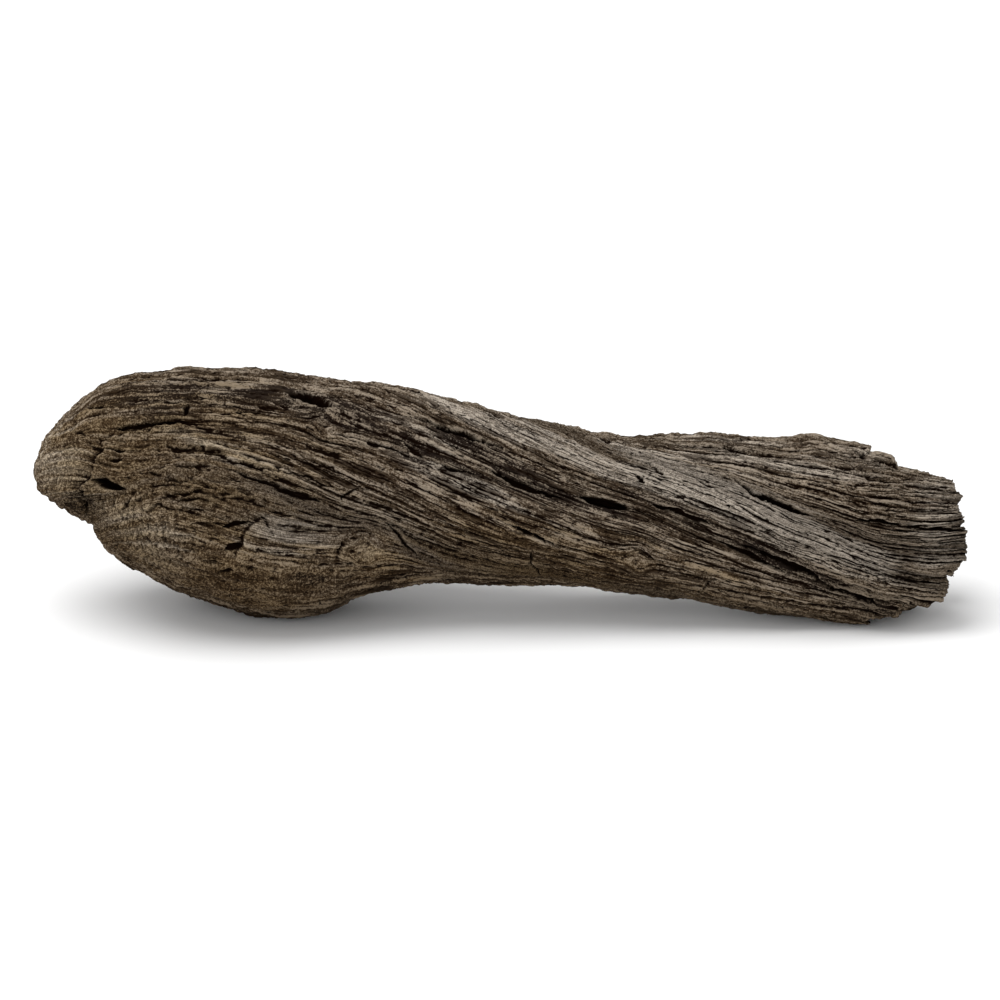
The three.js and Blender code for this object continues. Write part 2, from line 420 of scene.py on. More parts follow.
# Relief: all that stands out of the plain body or is eaten into it, in millimetres
carving = {
    "layers": [  # seed, fibres round the wood, their length, depth, how sharp, broken ends
        (21, 9, 130, 2.0, 1.4, 0),
        (22, 24, 80, 1.0, 1.0, 0.10),
        (23, 52, 60, 0.6, 0.8, 0.05),
        (24, 104, 38, 0.55, 0.7, 0.04),
        (25, 190, 26, 0.7, 0.7, 0.04),
        (26, 340, 17, 0.55, 0.8, 0.05),
    ],
    "flakes": [  # seed, fibres round the wood, their length, depth, steps
        (27, 36, 64, 3.4, 5),
        (28, 100, 36, 1.6, 4),
        (29, 220, 22, 0.7, 3),
    ],
    "splits": [  # seed, fibres round the wood, length, depth, half width in fibres, how many
        (31, 70, 50, 1.6, 0.10, 0.28),
        (32, 130, 30, 1.4, 0.14, 0.30),
        (33, 230, 18, 1.0, 0.22, 0.35),
    ],
    "quiet": [  # x, height, half length, half width, slope, what is left of the grain's depth
        (-92, 37, 26, 9, -4, 0.5), (-150, 30, 26, 20, -25, 0.6), (-110, 16, 40, 12, -3, 0.6),
        (-62, 33, 15, 10, 0, 0.5), (60, 25, 40, 12, -12, 0.7), (-5, 25, 60, 9, -4, 0.7),
        (85, 72, 40, 8, -10, 0.8),
    ],
    "lumps": [(48, 7, 2.6), (49, 2.8, 1.9), (50, 1.2, 1.0)],  # seed, size, height
    "lumpy": [  # x, height, half length, half width, slope, how far lumps take the fibres' place
        (-160, 42, 26, 18, -38, 0.9), (-138, 20, 52, 18, -14, 0.75), (-150, 64, 44, 24, -8, 0.55),
        (-175, 84, 26, 18, 20, 0.55), (-60, 33, 14, 9, 0, 0.6), (-84, 20, 22, 9, 0, 0.7),
    ],
    "frontCracks": [  # half width, depth, then its points as x, height
        (1.5, 5.5, [(-42, 94), (-32, 91.5), (-24, 88), (-16, 86), (-7, 83), (2, 80)]),
        (3.0, 9, [(-96, 104.8), (-90, 103.2), (-82, 100.8), (-74, 98)]),
        (2.7, 7.0, [(36, 57.5), (46, 55), (58, 52)]),
        (1.6, 3.0, [(-5, 70), (7, 64), (17, 60), (27, 57)]),
        (1.6, 6.0, [(104, 67), (110, 62.5), (114, 58.5), (123, 55.5), (132, 52), (141, 49)]),
        (0.8, 1.8, [(87, 65.5), (97, 60.5)]),
        (1.1, 3.5, [(3, 45.5), (16, 40.5), (27, 34.5)]),
        (0.6, 2.0, [(15, 34.5), (14, 27), (18, 23), (19, 20)]),
        (0.9, 2.4, [(-51, 46.5), (-36, 30.5)]),
        (1.0, 3.0, [(-70, 86.5), (-58, 82.5), (-47, 79.5), (-36, 74)]),
        (1.8, 2.6, [(-43, 83), (-34, 75)]),
        (1.0, 3.2, [(-32, 72.5), (-21, 70.5), (-11, 68)]),
        (2.7, 7.5, [(-182, 65.5), (-175, 63.5), (-167, 61.2)]),
        (2.2, 4.0, [(-186, 61), (-184, 58)]),
        (1.7, 2.8, [(-172, 88), (-162, 89.5), (-153, 90.5), (-144, 91)]),
        (1.6, 5.0, [(-187, 60), (-187, 53), (-186, 47)]),
        (1.2, 2.4, [(-122, 70.5), (-112, 67), (-104, 64.5), (-97, 61.5), (-84, 58)]),
        (1.8, 2.2, [(-97, 61), (-80, 56)]),
        (0.9, 1.6, [(-71, 55), (-70, 58), (-63, 61.5)]),
        (0.7, 1.6, [(-71, 30.5), (-71, 34.5), (-70, 38)]),
        (1.0, 2.6, [(-70, 28), (-64, 26.5)]),
        (1.4, 3.0, [(40, 87.5), (48, 84), (56, 82.5)]),
        (1.2, 2.6, [(60, 67), (65, 64)]),
        (1.3, 3.4, [(68, 54), (79, 51), (95, 45)]),
        (1.9, 4.2, [(106, 37), (125, 29.5), (139, 23), (150, 16)]),
        (1.6, 3.8, [(146, 17), (160, 12.5), (170, 9.5)]),
        (1.2, 3.0, [(96, 39.5), (112, 31), (128, 24)]),
        (0.6, 1.8, [(88, 11.5), (95, 20)]),
        (0.8, 2.2, [(150, 76.5), (165, 76), (174, 77.5)]),
        (1.1, 3.0, [(158, 47), (169, 46.5), (178, 45.5), (184, 45)]),
        (1.3, 3.0, [(186, 43), (198, 43), (209, 43)]),
        (0.9, 2.0, [(98, 81), (106, 79.3), (113, 78)]),
        (0.6, 1.6, [(-121, 11), (-120, 14)]),
        (0.6, 1.6, [(-81, 8), (-80, 11)]),
        (1.8, 2.8, [(-139, 99), (-141, 94)]),
    ],
    "backCracks": [  # the same on the hidden side
        (1.6, 5.0, [(-120, 66), (-104, 68), (-88, 72), (-76, 78)]),
        (1.2, 3.5, [(-30, 46), (-12, 53), (6, 60)]),
        (1.5, 4.5, [(70, 40), (88, 47), (108, 55)]),
        (1.0, 3.0, [(120, 56), (140, 60), (158, 64)]),
        (1.0, 2.6, [(130, 20), (150, 25), (166, 29)]),
        (1.3, 3.5, [(-165, 66), (-150, 69), (-138, 72)]),
        (0.9, 2.2, [(-60, 24), (-44, 30)]),
        (2.2, 6.0, [(20, 66), (30, 70), (40, 74)]),
        (0.9, 2.4, [(-8, 66), (6, 71), (18, 76)]),
    ],
    "ridges": [  # half width, height, points
        (2.2, 1.2, [(-43, 91), (-34, 88), (-28, 85)]),
        (7.0, 2.0, [(68, 72), (91, 61), (114, 50), (137, 38.5), (160, 28.5)]),
    ],
    "flaps": [  # height of the lifted edge, how far the lift fades to the line's right, points
        (2.2, 12, [(-187, 47), (-188, 54), (-186.5, 62), (-181, 69), (-180, 74), (-176, 78),
                   (-176.5, 81.5), (-168, 85.5), (-155, 86.5), (-152, 89.5), (-137, 89.5), (-127, 86),
                   (-117, 83)]),
        (1.8, 9, [(-84, 60.5), (-97, 65.5), (-108, 71), (-117, 73.5), (-126, 78), (-139, 80.5),
                  (-150, 79.5), (-158, 76)]),
        (1.6, 10, [(-118, 27), (-116, 34), (-113, 41), (-108, 46.5), (-100, 48)]),
        (1.2, 7, [(-71, 26), (-71, 33), (-69, 38), (-62, 40)]),
        (1.2, 5, [(-124, 80.5), (-126, 83), (-125, 86)]),
        (1.8, 6, [(-130, 61.5), (-142, 60), (-152, 57.5)]),
        (1.8, 6, [(-132, 50), (-141, 52), (-150, 55), (-160, 52)]),
        (1.7, 6, [(-138, 67), (-141, 65), (-148, 67), (-158, 70)]),
        (1.8, 5, [(-104, 55), (-113, 57), (-121, 58)]),
        (1.8, 5, [(-128, 55), (-137, 57.5), (-146, 57)]),
        (1.8, 5, [(-96, 70.5), (-108, 75), (-118, 77.5)]),
        (1.8, 5, [(-76, 62), (-88, 67), (-99, 71)]),
        (1.6, 5, [(-60, 64), (-70, 69), (-82, 73)]),
        (1.6, 5, [(-127, 71), (-136, 72.5), (-146, 71)]),
        (1.6, 6, [(-120, 45), (-131, 47.5), (-140, 45)]),
        (1.6, 6, [(66, 65), (61, 67), (58, 69)]),
    ],
    "trims": [  # broad swellings and dips: x, height, half length, half width, slope, how high
        (-172, 26, 22, 12, -38, -1.8), (-188, 46, 8, 10, 0, -1.6), (-200, 74, 16, 22, 10, 0.4),
        (-138, 114, 20, 6, 0, -1.6), (134, 84, 16, 6, 0, -1.2), (82, 84, 20, 5, 0, -0.8),
        (-134, 10, 14, 8, -20, -1.5), (142, 86, 6, 7, 0, 0.8), (63, 87, 8, 6, 0, -1.0),
        (-57, 111, 6, 6, 0, 0.6), (-141, 117, 8, 6, 0, 1.4), (92, 86, 7, 6, 0, 1.0),
        (98, 4, 9, 6, 0, 0.6), (35, 16, 50, 5, -8, -1.0), (92, 9, 26, 5, -6, -1.0),
        (-60, 12, 16, 5, 18, -0.8), (-181, 37, 6, 7, 0, 2.2), (-195, 96, 12, 12, 0, -1.6),
        (-28, 18, 12, 5, 0, -1.0),
    ],
    "pits": [  # short hollows: x, height, half length, slope, half width, depth
        (-132, 63, 5, -14, 1.6, 1.6), (-114, 59.5, 5, -22, 1.7, 1.8), (-136, 52, 6, -8, 1.2, 1.6),
        (-117, 45.5, 6, 14, 2.2, 2.6), (-119, 35, 4, 20, 2.0, 2.2), (102, 54, 0.6, 0, 1.0, 3.0),
        (-171, 74, 3, 12, 1.5, 1.5), (-166, 54, 3, 60, 1.6, 1.8), (-162, 50.5, 3, 70, 1.2, 1.4),
        (-52, 17, 6, 10, 1.2, 1.2), (64, 32, 6, -30, 1.2, 1.0), (-128, 41, 5, -15, 1.1, 1.1),
        (-98, 50, 6, -16, 1.1, 1.3), (-104, 47, 4, -50, 1.0, 1.2), (-86, 50, 5, -20, 0.9, 1.2),
        (-171, 78, 4, -5, 1.2, 1.4), (-181, 98.5, 5, -6, 1.3, 1.5), (-188, 86, 4, -20, 1.2, 1.3),
        (-180, 80, 4, -30, 1.1, 1.3), (-128, 28, 5, -10, 1.4, 1.2), (-122, 24, 4, 10, 1.2, 1.1),
    ],
    "curls": 1.8,      # height of the matted curls on the lower lobe
    "scales": 2.0,     # height of the small scales above it
    "ripples": 1.3,    # height of the ripples near the broken end
    "grit": [(43, 3.3, 0.9), (44, 1.3, 0.6)],  # the same as lumps, all over the wood
    "levelled": 0.85,  # how far all this is brought back to the body's own forms
    "levelBlur": (26, 52),  # over how many rows and columns
    "sunk": 0.35,      # how much lower the whole skin lies
    "curlLobe": (-160, 43, 23, 16, -38),   # x, height, half length, half width, slope
    "scaleLobe": (-144, 60, 36, 20, -12),
}


def nearLine(points, reach, wobble, face):  # the grid points near a drawn line, a little moved
    low = points.min(0) - reach
    high = points.max(0) + reach
    inside = (plainX > low[0]) & (plainX < high[0]) & (plainHeight > low[1]) & (plainHeight < high[1])
    near = inside & (faces[face] > 0)
    x = plainX[near] + wobble * wobbleX[near]
    height = plainHeight[near] + wobble * wobbleHeight[near]
    return near, np.stack([x, height], axis=1)


def lineDistance(points, place):  # how far places are from a line, on which side, how far along
    legs = np.diff(points, axis=0)
    lengths = np.hypot(legs[:, 0], legs[:, 1])
    runs = np.concatenate([[0], np.cumsum(lengths)])
    away = np.full(len(place), 1e6)
    along = np.zeros(len(place))
    side = np.zeros(len(place))
    for start, leg, length, run in zip(points, legs, lengths, runs):
        toPlace = place - start
        share = np.clip((toPlace @ leg) / length ** 2, 0, 1)
        gap = np.hypot(*(toPlace - share[:, None] * leg).T)
        closer = gap < away
        along = np.where(closer, run + share * length, along)
        side = np.where(closer, np.sign(toPlace[:, 0] * leg[1] - toPlace[:, 1] * leg[0]), side)
        away = np.minimum(away, gap)
    return away, side, along, runs[-1]


def strokeShare(points, halfWidth, face="front"):  # 1 on a drawn line, 0 at its sides and ends
    points = np.array(points, float)
    near, place = nearLine(points, 4 * halfWidth, 1, face)
    away, _, along, total = lineDistance(points, place)
    taper = np.clip(np.minimum(along, total - along) / (0.4 * total), 0.05, 1) ** 0.7
    taper *= 1 + (0.8 * ragged[near] - 0.4) / max(1, halfWidth / 1.2)
    out = emptyGrid()
    out[near] = (1 - smooth(0.35, 1.0, away / (halfWidth * taper))) * faces[face][near]
    return out


def flapShare(points, fade):  # raised to the right of a drawn line, a little sunk to its left
    points = np.array(points, float)
    near, place = nearLine(points, fade, 2, "front")
    away, side, along, total = lineDistance(points, place)
    ends = smooth(0, 0.2 * total, np.minimum(along, total - along))
    out = emptyGrid()
    lifted = smooth(-0.4, 0.4, away * side) * (1 - smooth(0, fade, away))
    dropped = smooth(0.5, -0.5, away * side) * (1 - smooth(0, 0.5 * fade, away))
    out[near] = (lifted - 0.5 * dropped) * ends * frontShare[near]
    return out


def lumpShare():  # how far lumps take the place of fibres
    share = tipShare
    for *place, strength in carving["lumpy"]:
        share = np.maximum(share, strength * oval(*place, soft=0.7))
    return share


def feltCurls():  # the matted wood at the front of the lower lobe, curled nearly upright
    lobe = oval(*carving["curlLobe"], soft=0.7)
    bend = 2.4 * solidNoise(45, spun / 9) + 0.6 * solidNoise(46, spun / 3)
    curls = np.abs(2 * flatNoise(41, plainX / 1.3 + bend, plainHeight / 7 + 0.4 * bend) - 1) ** 0.8
    curls += 0.6 * np.abs(2 * flatNoise(42, plainX / 0.7 + 2 * bend, plainHeight / 3.5) - 1)
    return lobe * (curls + 0.7 * solidNoise(47, spun / 0.9))


def scaleShare():  # small curled scales on the upper side of the lobe
    bend = 1.6 * solidNoise(54, spun / 5)
    along = (plainX * 0.97 - plainHeight * 0.22) / 6.5
    across = (plainHeight * 0.97 + plainX * 0.22) / 2.8
    scales = 0.7 * flatNoise(55, along + bend, across + bend)
    scales += 0.3 * flatNoise(56, 2 * along, 2.2 * across + bend)
    return terraces(scales, 4, 0.72) * oval(*carving["scaleLobe"], soft=0.6)


def trimHeight():
    out = emptyGrid()
    for *place, amount in carving["trims"]:
        out += amount * oval(*place, soft=0.9, face="both")
    return out


def grainDepth(lumps):  # how much of the fibres' depth is left at each point
    depth = np.ones(plain.shape[:2])
    for *place, left in carving["quiet"]:
        depth = np.minimum(depth, mix(1, left, oval(*place)))
    depth *= (1 - 0.75 * lumps) * (1 - 0.8 * smooth(26, 12, tipAway))
    return depth * (1 - 0.95 * endCore) * (1 + 0.5 * smooth(150, 190, plainX))


def fibreRelief(depth):  # ridges, stepped flakes and splits, all along the grain
    relief = emptyGrid()
    for seed, count, length, deep, sharp, broken in carving["layers"]:
        fibre = np.abs(2 * fibres(seed, count, length, broken) - 1) ** sharp
        relief += deep * fibre * (1 if count < 12 else depth)
    for seed, count, length, deep, levels in carving["flakes"]:
        fibre = 0.65 * fibres(seed, count, length, 0.05)
        fibre += 0.35 * fibres(seed + 50, 2 * count, length / 2, 0.05)
        relief += deep * terraces(fibre, levels, 0.7) * depth
    for seed, count, length, deep, wide, share in carving["splits"]:
        line = np.abs(2 * fibres(seed, count, length) - 1)
        where = smooth(1 - share, 1 - share + 0.18, fibres(seed + 50, count // 4, length * 1.5))
        relief -= deep * (1 - smooth(0, wide, line)) * where * depth
    ripple = np.abs(2 * fibres(58, 120, 9, 0.15) - 1)
    return relief + carving["ripples"] * ripple * smooth(110, 175, plainX) * depth


def carvedDepth():  # cracks, cavities and pits
    carved = emptyGrid()
    for face in ("front", "back"):
        for halfWidth, deep, points in carving[face + "Cracks"]:
            carved = np.maximum(carved, deep * strokeShare(points, halfWidth, face))
    for x, height, along, slope, halfWidth, deep in carving["pits"]:
        dx = along * math.cos(math.radians(slope))
        dh = along * math.sin(math.radians(slope))
        line = [(x - dx, height - dh), (x, height), (x + dx, height + dh)]
        carved = np.maximum(carved, deep * strokeShare(line, halfWidth))
    return carved


def makeRelief():  # the height of the relief, how much of it is carved and how matted it is
    lumps = lumpShare()
    relief = carving["curls"] * feltCurls() + fibreRelief(grainDepth(lumps))
    for seed, size, high in carving["lumps"]:
        relief += high * lumps * solidNoise(seed, spun / size)
    for seed, size, high in carving["grit"]:
        relief += high * solidNoise(seed, spun / size)
    relief += carving["scales"] * scaleShare()
    level = carving["levelled"]
    relief -= level * blurGrid(relief, *carving["levelBlur"]) + (1 - level) * relief.mean()
    for halfWidth, high, points in carving["ridges"]:
        relief += high * strokeShare(points, halfWidth)
    for high, fade, points in carving["flaps"]:
        relief += high * flapShare(points, fade)
    carved = carvedDepth()
    relief += trimHeight() - carving["sunk"] - carved
    return relief, carved, np.maximum(lumps, 0.75 * endCore)


brokenEnd = {
    "edge": [  # height, x: how far the end reaches, with its larger splinters
        (0, 160), (0.6, 171), (4.5, 165), (7, 182), (10, 187), (14, 198), (18.5, 203), (24, 201.5),
        (28, 204.5), (31.5, 210), (38.7, 207), (43, 209), (49.5, 209.5), (56.7, 207.8), (61, 206),
        (64, 201), (67, 192.5), (69, 181), (74.5, 178), (76.5, 169), (81.9, 171), (83, 165),
    ],
    "edgeDepth": 18,        # how far in from the end the wood is moved to that edge
    "splinters": (9.0, 3.0, 1.0),  # how much shorter the coarse, middle and fine ones can be
    "coreSplinters": 3.0,   # more of it in the middle of the broken face
    "whole": 3.6,           # this much shortening is let off, so that many fibres stay whole
}


def breakShift():  # moves the CAD's even end to that edge, then shortens some fibres
    heights = np.arange(0, 84, 1.5)
    reach = [plainX[np.abs(plainHeight - h) < 1.5].max() for h in heights]
    reach = np.interp(plainHeight, heights, reach)
    edge = np.array(brokenEnd["edge"], float)
    shift = np.interp(plainHeight, edge[:, 0], edge[:, 1]) - reach
    shift *= smooth(reach - brokenEnd["edgeDepth"], reach - 3, plainX)
    side = plain[..., 1]
    up = plain[..., 2]
    coarse, middle, fine = brokenEnd["splinters"]
    bend = flatNoise(50, side / 11, up / 9)
    splinter = coarse * terraces(flatNoise(51, side / 9 + bend, up / 6 + bend), 6, 0.8)
    splinter += middle * terraces(flatNoise(52, side / 6 + bend, up / 2.8), 4, 0.6)
    splinter += fine * flatNoise(53, side / 2, up / 1.4)
    lean = blurGrid(normals[..., 0], 7, 9)
    beyond = smooth(140, 165, plainX)
    face = smooth(0.25, 0.8, lean) * beyond
    core = smooth(0.6, 0.9, lean) * beyond
    bits = terraces(flatNoise(59, side / 2.6 + bend, up / 1.7), 4, 0.5)
    splinter += brokenEnd["coreSplinters"] * core * bits
    splinter = np.maximum(splinter - brokenEnd["whole"], 0)
    return shift - splinter * face, face, core


def floorShare():  # 1 well above the floor and less on the worn flats
    worn = 0.25
    return mix(worn, 1, smooth(0.2, 5, plain[..., 2]))


def insideBox(points):  # eases whatever stands out of the CAD's box back into it
    room = 3.0
    low = np.array(cadBox[0]) / metre
    high = np.array(cadBox[1]) / metre
    over = np.maximum(points - (high - room), 0)
    points = points - over + room * np.tanh(over / room)
    under = np.maximum((low + room) - points, 0)
    eased = points + under - room * np.tanh(under / room)
    eased[..., 2] = np.maximum(points[..., 2], 0)
    return eased


# The body's points turned off the axes, so that solid noise shows no rows
spun = plain @ np.array([[0.80, 0.48, 0.36], [-0.60, 0.64, 0.48], [0, -0.60, 0.80]])
# How far drawn lines stray, and how ragged their sides are
wobbleX = 1.4 * (flatNoise(61, plainX / 6, plainHeight / 4) - 0.5)
wobbleHeight = 1.2 * (flatNoise(62, plainX / 7, plainHeight / 3) - 0.5)
wobbleHeight += 0.7 * (flatNoise(63, plainX / 2.2, plainHeight / 1.2) - 0.5)
ragged = fibres(64, 280, 14, 0.06)
# The worn tip, which reaches further on the hidden side
tipAway = np.linalg.norm(plain - tipPoint, axis=2)
tipEdge = 16 * (solidNoise(40, spun / 8) - 0.5)
tipShare = np.maximum(smooth(-176, -199, plainX + tipEdge), smooth(32, 12, tipAway + tipEdge))
tipShare = np.maximum(tipShare, smooth(62, 34, tipAway + tipEdge) * (1 - frontShare))
endShift, endFace, endCore = breakShift()

relief, carved, matted = makeRelief()
relief *= floorShare()
offset = normals * relief[..., None]
offset[..., 0] *= 1 - 0.6 * endFace * (1 - endCore)
surface = plain + offset
surface[..., 0] += endShift
surface = insideBox(surface)
print("relief: from", round(relief.min(), 2), "to", round(relief.max(), 2), "mm")


# What the surface is like at each point, for the material: painted shade in its hollows, painted
# highlight on its crests, and the light and dark streaks of its grain
tones = {
    "blurs": [(1.2, 2.4), (2.5, 5), (8, 16)],  # rows and columns: for fine, narrow and wide forms
    "crevice": [(0.65, 0.03, 0.3), (0.55, 0.1, 0.7), (0.6, 0.3, 2.0)],  # painted shade in hollows: share, then from and to mm
    "crest": [(0.65, 0.02, 0.25), (0.35, 0.05, 0.6), (0.2, 0.1, 1.4)],  # likewise, for high places: painted highlight, partly the grey of weathered wood
    # share, seed, fibres round the wood, their length, broken ends
    "streaks": [(0.35, 71, 220, 28, 0.08), (0.35, 72, 80, 60, 0.08), (0.3, 73, 24, 110, 0)],
    "calm": 0.24,  # how much duller and more even the burl is
}


def makeTones():  # how deep in a hollow each point is, for painted shade, how high on a ridge, for painted highlight, and how light
    full = relief + 0.35 * endShift * endFace
    crevice = emptyGrid()
    crest = emptyGrid()
    for blur, hollow, high in zip(tones["blurs"], tones["crevice"], tones["crest"]):
        deep = blurGrid(full, *blur) - full
        crevice += hollow[0] * smooth(hollow[1], hollow[2], deep)
        crest += high[0] * smooth(high[1], high[2], -deep)
    calm = 1 - tones["calm"] * smooth(-40, -110, plainX)
    crevice = np.maximum(crevice * calm * (1 - 0.45 * matted), smooth(0.6, 2.6, carved))
    streak = sum(share * fibres(*kind) for share, *kind in tones["streaks"])
    plainStreak = 0.35 + 0.3 * solidNoise(74, spun / 5)
    streak = mix(smooth(0.25, 0.75, streak), plainStreak, 0.7 * matted)
    return np.clip(crevice, 0, 1), np.clip(crest * calm ** 1.6, 0, 1), mix(0.5, streak, calm)


crevice, crest, streak = makeTones()
print("tones: crevice", round(crevice.mean(), 3), "crest", round(crest.mean(), 3))

# Pale patches are partly bleached wood and partly painted highlight, as on the diagonal ridge and the
# upper right; dark patches are partly dark marks and partly painted shade, as under the upper lobe and
# in the valley below that ridge.
patches = {  # each tone as ovals: x, height, half length, half width, slope, strength
    "front": {
        "olive": [(-160, 55, 80, 60, 0, 0.8), (-110, 22, 50, 20, -4, 0.8), (-60, 28, 30, 14, 0, 0.7),
            (20, 32, 70, 16, -10, 0.65), (-90, 60, 26, 8, -22, 0.6), (-120, 100, 50, 10, -8, 0.4),
            (90, 18, 60, 10, -14, 0.5)],
        "pale": [(95, 74, 48, 14, -6, 0.42), (68, 70, 18, 8, -10, 0.9), (112, 52, 62, 9.5, -25, 1.3),
            (158, 32, 22, 8, -18, 0.9), (10, 86, 50, 7, -22, 0.7), (-198, 70, 16, 22, 0, 0.42),
            (-92, 40, 24, 9, -6, 0.6), (150, 72, 30, 8, 0, 0.5), (196, 48, 14, 28, 0, 0.6),
            (-30, 84, 16, 4, -24, 0.65), (-20, 66, 34, 4, -24, 0.5), (-120, 76, 36, 3.5, -22, 0.5),
            (-160, 42, 24, 14, -36, 0.5), (-45, 92, 14, 4, -22, 0.6), (-58, 34, 10, 7, 0, 0.5)],
        "dark": [(-72, 95, 28, 8, -16, 1.0), (-38, 80, 16, 7, -30, 0.9), (16, 62, 30, 5, -22, 1.0),
            (-10, 80, 28, 4.5, -24, 0.9), (-20, 72, 20, 3, -26, 0.8), (85, 48, 26, 4, -24, 0.9),
            (128, 28, 36, 6.5, -26, 1.0), (150, 18, 20, 3, -28, 0.9), (168, 9, 14, 5, -12, 0.8),
            (-84, 21, 9, 5, -8, 0.7), (-52, 17, 8, 3, 12, 0.8), (-190, 54, 7, 10, -30, 0.9),
            (207, 40, 4, 26, 0, 0.5), (108, 79, 12, 3, -8, 0.6), (-158, 90, 18, 3, 2, 0.7),
            (-96, 60, 22, 3, -22, 0.6), (-110, 105, 50, 2.5, -9, 0.7), (45, 54, 18, 4, -20, 0.8),
            (-150, 110, 30, 3, 4, 0.6), (-130, 98, 46, 15, -8, 0.6), (-60, 68, 20, 3, -26, 0.6),
            (0, 92, 40, 2.5, -22, 0.6)],
    },
    "back": {  # the slopes are positive here: seen from behind, the grain falls the same way
        "olive": [(-120, 30, 80, 24, 6, 0.8), (40, 25, 80, 14, 10, 0.6)],
        "pale": [(-120, 92, 60, 12, 6, 0.6), (0, 62, 70, 8, 20, 0.8), (110, 60, 60, 10, 16, 0.8),
            (-170, 60, 26, 22, 0, 0.4), (150, 30, 40, 8, 14, 0.6)],
        "dark": [(-100, 62, 40, 5, 12, 0.7), (-40, 40, 40, 5, 20, 0.7), (60, 50, 60, 5, 22, 0.8),
            (150, 48, 40, 5, 14, 0.7), (20, 82, 40, 4, 14, 0.6)],
    },
}


def patchMask(name, seed):  # the ovals, frayed along the grain
    mask = emptyGrid()
    for face, spots in patches.items():
        for *place, strength in spots[name]:
            mask = np.maximum(mask, strength * oval(*place, soft=0.7, face=face))
    edge = 0.6 * fibres(seed, 150, 34, 0.1) + 0.4 * fibres(seed + 1, 50, 60, 0.1)
    return smooth(0, 0.9, 1.2 * mask + 1.1 * (edge - 0.5) - 0.2) * smooth(0, 0.25, mask)


def buildMesh():  # the grid as four-sided faces, with a fan of triangles at each end
    rows, columns = plain.shape[:2]
    ends = [surface[0].mean(0), surface[-1].mean(0)]
    points = np.concatenate([surface.reshape(-1, 3), ends]) * metre
    index = np.arange(rows * columns).reshape(rows, columns)
    after = np.roll(index, -1, axis=1)
    quads = np.stack([index[:-1], index[1:], after[1:], after[:-1]], axis=2).reshape(-1, 4)
    tipFan = np.stack([index[0], after[0], np.full(columns, rows * columns)], axis=1)
    endFan = np.stack([after[-1], index[-1], np.full(columns, rows * columns + 1)], axis=1)
    corners = np.concatenate([quads.ravel(), tipFan.ravel(), endFan.ravel()])
    starts = np.concatenate([np.arange(len(quads)) * 4, len(quads) * 4 + np.arange(2 * columns) * 3])
    mesh = bpy.data.meshes.new("driftwood_surface")
    mesh.vertices.add(len(points))
    mesh.vertices.foreach_set("co", points.ravel())
    mesh.loops.add(len(corners))
    mesh.loops.foreach_set("vertex_index", corners.astype(np.int32))
    mesh.polygons.add(len(starts))
    mesh.polygons.foreach_set("loop_start", starts.astype(np.int32))
    mesh.update(calc_edges=True)
    mesh.validate()
    mesh.shade_smooth()
    addFlatMap(mesh, rows, columns)
    return mesh


def addFlatMap(mesh, rows, columns):  # the skin slit along one fibre and laid flat
    margin = 0.004
    up = 2 * margin + (1 - 4 * margin) * rowRun / rowRun[-1]
    up = np.concatenate([[margin], up, [1 - margin]])
    across = np.arange(columns + 1) / columns
    j = np.repeat(np.arange(rows - 1), columns)
    i = np.tile(np.arange(columns), rows - 1)
    quads = np.stack([across[i], up[j + 1], across[i], up[j + 2], across[i + 1], up[j + 2],
                      across[i + 1], up[j + 1]], axis=1)
    left = across[:-1]
    right = across[1:]
    low, first, last, high = (np.full(columns, up[row]) for row in (0, 1, -2, -1))
    tipFan = np.stack([left, first, right, first, (left + right) / 2, low], axis=1)
    endFan = np.stack([right, last, left, last, (left + right) / 2, high], axis=1)
    flat = mesh.uv_layers.new(name="OFBake")
    flat.data.foreach_set("uv", np.concatenate([quads.ravel(), tipFan.ravel(), endFan.ravel()]))


def addPointValues(mesh, name, *grids):  # one or three grids as a value of each point
    values = [np.concatenate([g.ravel(), [g[0].mean(), g[-1].mean()]]) for g in grids]
    if len(values) == 1:
        mesh.attributes.new(name, "FLOAT", "POINT").data.foreach_set("value", values[0])
    else:
        mesh.attributes.new(name, "FLOAT_VECTOR", "POINT").data.foreach_set(
            "vector", np.stack(values, axis=1).ravel())


def grainPlace():  # a place for fine grain: two ways across the fibres and one along them
    radius = 45
    before = traceGrain(rowRun[-1] + 1)[2]
    angle = 2 * math.pi * before
    along = np.repeat(rowRun[:, None], body["columns"], axis=1)
    return radius * np.cos(angle), radius * np.sin(angle), along


def paintedUndersideShadeShare():  # painted shade: the wood's colour is darker where it faces the ground
    return smooth(0.15, -0.7, blurGrid(normals[..., 2], 6, 12))


mesh = buildMesh()
addPointValues(mesh, "grain", *grainPlace())
# Painted shade in hollows, painted highlight on crests, and the grain's streaks
addPointValues(mesh, "painted_shade_highlight_and_streak", crevice, crest, streak)
# Olive tint, pale patches that are partly painted highlight, and dark patches that are partly painted
# shade
addPointValues(mesh, "tone", patchMask("olive", 74), patchMask("pale", 76), patchMask("dark", 78))
addPointValues(mesh, "matted", matted)
# Painted shade on the faces turned towards the ground
addPointValues(mesh, "painted_underside_shade", paintedUndersideShadeShare())
wood = addToScene("driftwood_surface", mesh)
print("mesh:", len(mesh.vertices), "points,", len(mesh.polygons), "faces")


